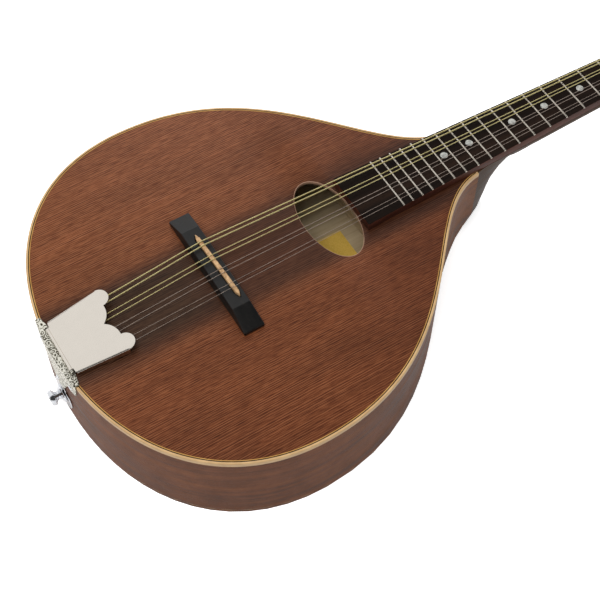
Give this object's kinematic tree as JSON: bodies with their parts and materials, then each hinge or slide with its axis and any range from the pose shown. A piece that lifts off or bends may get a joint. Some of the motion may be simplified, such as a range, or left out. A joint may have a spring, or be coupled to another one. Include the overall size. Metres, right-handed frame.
{
  "type": "portuguese mandolin",
  "caption": "Flat-top teardrop mandolin with oval soundhole, floating bridge, hinged tailpiece cover, paired strings, angled headstock and working worm-geared tuners.",
  "frame": {"origin": "middle of the whole instrument's bounding box in plan, on the plane of the flat back", "axes": "+Y along the neck towards the headstock, +Z out of the soundboard, +X towards the treble strings; the instrument lies on its back"},
  "size_m": [0.2912, 0.6442, 0.0883],
  "materials": {
    "bone": "tan, fine satin",
    "bronze_winding": "fine yellow bronze winding",
    "button_pearl": "glossy pearl white",
    "chrome": "polished chrome",
    "cream_binding": "satin cream",
    "dark_line": "satin, a dark line beside a light line",
    "ebony": "satin black",
    "embossed_silver": "embossed, mottled silver",
    "inner_wood": "raw, unfinished",
    "label_paper": "matt yellow paper, bare",
    "mahogany": "satin dark brown",
    "nickel": "polished nickel",
    "plain_steel": "drawn wire",
    "rosewood": "satin, very dark brown",
    "stained_top": "satin reddish-brown stain, straight grain along the neck"
  },
  "bodies": {
    "instrument": {"back": "mahogany", "back_brace_lower": "inner_wood", "back_brace_upper": "inner_wood", "back_centre_strip": "inner_wood", "binding": "cream_binding", "bridge_base": "ebony", "bridge_saddle": "bone", "fingerboard": "rosewood", "headstock_veneer": "rosewood", "label": "label_paper", "lining_back_bass": "inner_wood", "lining_back_treble": "inner_wood", "lining_top_bass": "inner_wood", "lining_top_treble": "inner_wood", "neck": "mahogany", "neck_bar": "plain_steel", "neck_block": "inner_wood", "nut": "bone", "purfling": "dark_line", "rim_bass": "mahogany", "rim_treble": "mahogany", "soundboard": "stained_top", "soundhole_patch": "inner_wood", "strap_button": "chrome", "strap_button_screw": "chrome", "string_a1": "plain_steel", "string_a2": "plain_steel", "string_d1": "bronze_winding", "string_d2": "bronze_winding", "string_e1": "plain_steel", "string_e2": "plain_steel", "string_g1": "bronze_winding", "string_g2": "bronze_winding", "tail_block": "inner_wood", "tailpiece_base": "embossed_silver", "tailpiece_hinge_pin": "nickel", "top_brace_lower": "inner_wood", "top_brace_upper": "inner_wood", "tuner_plate_bass": "nickel", "tuner_plate_treble": "nickel"},
    "button_bass_1": {"tuner_button_bass_1": "button_pearl"},
    "post_bass_1": {"string_post_bass_1": "nickel"},
    "button_bass_2": {"tuner_button_bass_2": "button_pearl"},
    "post_bass_2": {"string_post_bass_2": "nickel"},
    "button_bass_3": {"tuner_button_bass_3": "button_pearl"},
    "post_bass_3": {"string_post_bass_3": "nickel"},
    "button_bass_4": {"tuner_button_bass_4": "button_pearl"},
    "post_bass_4": {"string_post_bass_4": "nickel"},
    "button_treble_1": {"tuner_button_treble_1": "button_pearl"},
    "post_treble_1": {"string_post_treble_1": "nickel"},
    "button_treble_2": {"tuner_button_treble_2": "button_pearl"},
    "post_treble_2": {"string_post_treble_2": "nickel"},
    "button_treble_3": {"tuner_button_treble_3": "button_pearl"},
    "post_treble_3": {"string_post_treble_3": "nickel"},
    "button_treble_4": {"tuner_button_treble_4": "button_pearl"},
    "post_treble_4": {"string_post_treble_4": "nickel"},
    "cover": {"tailpiece_cover": "nickel"}
  },
  "joints": [
    {"name": "button_turn_bass_1", "type": "hinge", "parent": "instrument", "child": "button_bass_1", "pos_m": [-0.017, 0.19579, 0.05377], "axis": [-1, 0, 0], "continuous": true},
    {"name": "post_turn_bass_1", "type": "hinge", "parent": "instrument", "child": "post_bass_1", "pos_m": [-0.017, 0.20714, 0.06826], "axis": [0, 0.2419, 0.9703], "continuous": true},
    {"name": "button_turn_bass_2", "type": "hinge", "parent": "instrument", "child": "button_bass_2", "pos_m": [-0.017, 0.21811, 0.04821], "axis": [-1, 0, 0], "continuous": true},
    {"name": "post_turn_bass_2", "type": "hinge", "parent": "instrument", "child": "post_bass_2", "pos_m": [-0.017, 0.22945, 0.06269], "axis": [0, 0.2419, 0.9703], "continuous": true},
    {"name": "button_turn_bass_3", "type": "hinge", "parent": "instrument", "child": "button_bass_3", "pos_m": [-0.017, 0.24043, 0.04264], "axis": [-1, 0, 0], "continuous": true},
    {"name": "post_turn_bass_3", "type": "hinge", "parent": "instrument", "child": "post_bass_3", "pos_m": [-0.017, 0.25177, 0.05713], "axis": [0, 0.2419, 0.9703], "continuous": true},
    {"name": "button_turn_bass_4", "type": "hinge", "parent": "instrument", "child": "button_bass_4", "pos_m": [-0.017, 0.26274, 0.03708], "axis": [-1, 0, 0], "continuous": true},
    {"name": "post_turn_bass_4", "type": "hinge", "parent": "instrument", "child": "post_bass_4", "pos_m": [-0.017, 0.27409, 0.05157], "axis": [0, 0.2419, 0.9703], "continuous": true},
    {"name": "button_turn_treble_1", "type": "hinge", "parent": "instrument", "child": "button_treble_1", "pos_m": [0.017, 0.19579, 0.05377], "axis": [1, 0, 0], "continuous": true},
    {"name": "post_turn_treble_1", "type": "hinge", "parent": "instrument", "child": "post_treble_1", "pos_m": [0.017, 0.20714, 0.06826], "axis": [0, 0.2419, 0.9703], "continuous": true},
    {"name": "button_turn_treble_2", "type": "hinge", "parent": "instrument", "child": "button_treble_2", "pos_m": [0.017, 0.21811, 0.04821], "axis": [1, 0, 0], "continuous": true},
    {"name": "post_turn_treble_2", "type": "hinge", "parent": "instrument", "child": "post_treble_2", "pos_m": [0.017, 0.22945, 0.06269], "axis": [0, 0.2419, 0.9703], "continuous": true},
    {"name": "button_turn_treble_3", "type": "hinge", "parent": "instrument", "child": "button_treble_3", "pos_m": [0.017, 0.24043, 0.04264], "axis": [1, 0, 0], "continuous": true},
    {"name": "post_turn_treble_3", "type": "hinge", "parent": "instrument", "child": "post_treble_3", "pos_m": [0.017, 0.25177, 0.05713], "axis": [0, 0.2419, 0.9703], "continuous": true},
    {"name": "button_turn_treble_4", "type": "hinge", "parent": "instrument", "child": "button_treble_4", "pos_m": [0.017, 0.26274, 0.03708], "axis": [1, 0, 0], "continuous": true},
    {"name": "post_turn_treble_4", "type": "hinge", "parent": "instrument", "child": "post_treble_4", "pos_m": [0.017, 0.27409, 0.05157], "axis": [0, 0.2419, 0.9703], "continuous": true},
    {"name": "cover_lift", "type": "hinge", "parent": "instrument", "child": "cover", "pos_m": [0, -0.30601, 0.0786], "axis": [1, 0, 0], "range_deg": [0, 100]}
  ],
  "couplings": [
    {"joint": "post_turn_bass_1", "follows": "button_turn_bass_1", "ratio": 0.071429},
    {"joint": "post_turn_bass_2", "follows": "button_turn_bass_2", "ratio": 0.071429},
    {"joint": "post_turn_bass_3", "follows": "button_turn_bass_3", "ratio": 0.071429},
    {"joint": "post_turn_bass_4", "follows": "button_turn_bass_4", "ratio": 0.071429},
    {"joint": "post_turn_treble_1", "follows": "button_turn_treble_1", "ratio": -0.071429},
    {"joint": "post_turn_treble_2", "follows": "button_turn_treble_2", "ratio": -0.071429},
    {"joint": "post_turn_treble_3", "follows": "button_turn_treble_3", "ratio": -0.071429},
    {"joint": "post_turn_treble_4", "follows": "button_turn_treble_4", "ratio": -0.071429}
  ]
}
